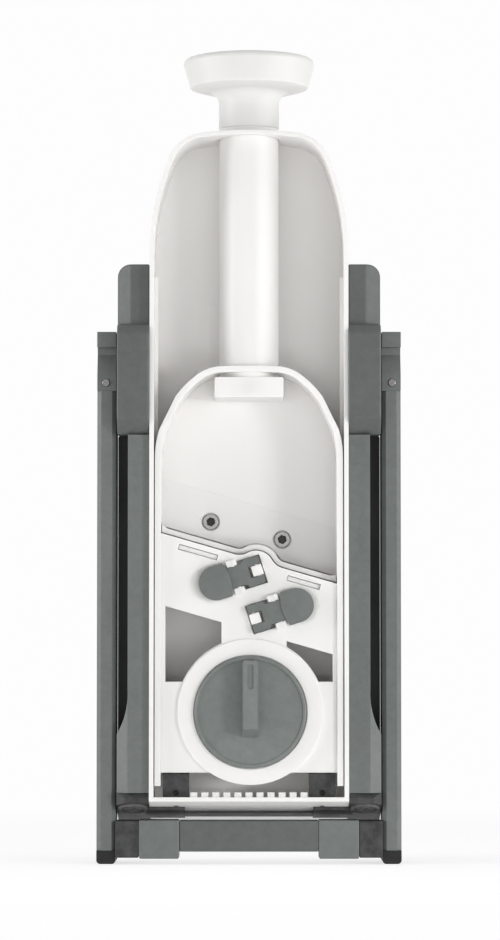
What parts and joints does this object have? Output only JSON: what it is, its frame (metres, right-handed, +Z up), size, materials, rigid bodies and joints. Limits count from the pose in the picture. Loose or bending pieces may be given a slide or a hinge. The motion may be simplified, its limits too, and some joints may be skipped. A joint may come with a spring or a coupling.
{
  "type": "vertical mandoline slicer",
  "caption": "Upright folding mandoline slicer: plunger-driven blade carriage in a white trough, thickness dial, flip-in julienne combs, rear feed chute with pusher, folding leg frame.",
  "frame": {"origin": "middle of the footprint, on the floor under the leg caps, with the slicer folded and upright", "axes": "+Z up along the body, +X to the right seen from the slice side, -Y towards the slice side where the knob is, +Y towards the feed chute"},
  "size_m": [0.15, 0.1084, 0.3994],
  "materials": {
    "white_plastic": "satin",
    "milky_plastic": "satin",
    "grey_plastic": "fine satin grain",
    "black_rubber": "matt",
    "steel": "brushed"
  },
  "bodies": {
    "housing": {"body_shell": "white_plastic", "feed_chute": "white_plastic", "left_side_rail": "grey_plastic", "right_side_rail": "grey_plastic", "left_hinge_bracket": "grey_plastic", "right_hinge_bracket": "grey_plastic", "left_corner_foot": "black_rubber", "right_corner_foot": "black_rubber", "foot_pads": "black_rubber", "foot_screws": "steel", "base_strip": "black_rubber", "left_bumper": "black_rubber", "right_bumper": "black_rubber", "bumper_screws": "steel", "hinge_pins": "steel", "spring_anchor": "white_plastic"},
    "leg_frame": {"left_leg_hinge_end": "grey_plastic", "right_leg_hinge_end": "grey_plastic", "left_leg_tube": "grey_plastic", "right_leg_tube": "grey_plastic", "leg_buttons": "steel", "crossbar": "grey_plastic", "left_crossbar_sleeve": "grey_plastic", "right_crossbar_sleeve": "grey_plastic", "left_grip_pad": "black_rubber", "right_grip_pad": "black_rubber", "left_leg_cap": "black_rubber", "right_leg_cap": "black_rubber"},
    "carriage": {"handle_knob": "milky_plastic", "plunger_rod": "white_plastic", "rod_clip": "white_plastic", "carriage_shell": "white_plastic", "adjuster_plate": "white_plastic", "blade": "steel", "blade_screws": "steel", "lever_axles": "steel", "guide_posts": "steel", "return_spring": "steel"},
    "dial": {"thickness_knob": "grey_plastic", "lead_screw": "steel"},
    "runway": {"runway_plate": "white_plastic"},
    "wide_flip": {"wide_lever": "grey_plastic"},
    "fine_flip": {"fine_lever": "grey_plastic"},
    "wide_comb": {"wide_comb_carrier": "white_plastic", "wide_comb_teeth": "steel"},
    "fine_comb": {"fine_comb_carrier": "white_plastic", "fine_comb_teeth": "steel"},
    "pusher": {"food_pusher": "white_plastic"}
  },
  "joints": [
    {"name": "leg_fold", "type": "hinge", "parent": "housing", "child": "leg_frame", "pos_m": [0, -0.02025, 0.254], "axis": [-1, 0, 0], "range_deg": [0, 51]},
    {"name": "plunger_slide", "type": "slide", "parent": "housing", "child": "carriage", "axis": [0, 0, 1], "range_m": [0, 0.098], "deforming": ["return_spring"]},
    {"name": "dial_turn", "type": "hinge", "parent": "carriage", "child": "dial", "pos_m": [0.0007, -0.04075, 0.0747], "axis": [0, 1, 0], "range_deg": [0, 270]},
    {"name": "runway_slide", "type": "slide", "parent": "carriage", "child": "runway", "axis": [0, -1, 0], "range_m": [0, 0.008]},
    {"name": "wide_lever_flip", "type": "hinge", "parent": "carriage", "child": "wide_flip", "pos_m": [-0.0066, -0.03955, 0.1408], "axis": [-0.3007, 0, 0.9537], "range_deg": [0, 32]},
    {"name": "wide_comb_slide", "type": "slide", "parent": "carriage", "child": "wide_comb", "axis": [0, 1, 0], "range_m": [0, 0.007]},
    {"name": "fine_lever_flip", "type": "hinge", "parent": "carriage", "child": "fine_flip", "pos_m": [0.0138, -0.03955, 0.1239], "axis": [0.3007, 0, -0.9537], "range_deg": [0, 32]},
    {"name": "fine_comb_slide", "type": "slide", "parent": "carriage", "child": "fine_comb", "axis": [0, 1, 0], "range_m": [0, 0.007]},
    {"name": "pusher_slide", "type": "slide", "parent": "housing", "child": "pusher", "axis": [0, 1, 0], "range_m": [0, 0.09]}
  ],
  "couplings": [
    {"joint": "dial_turn", "follows": "runway_slide", "rad_per_m": 589.04},
    {"joint": "wide_lever_flip", "follows": "wide_comb_slide", "rad_per_m": 79.786},
    {"joint": "fine_lever_flip", "follows": "fine_comb_slide", "rad_per_m": 79.786}
  ]
}
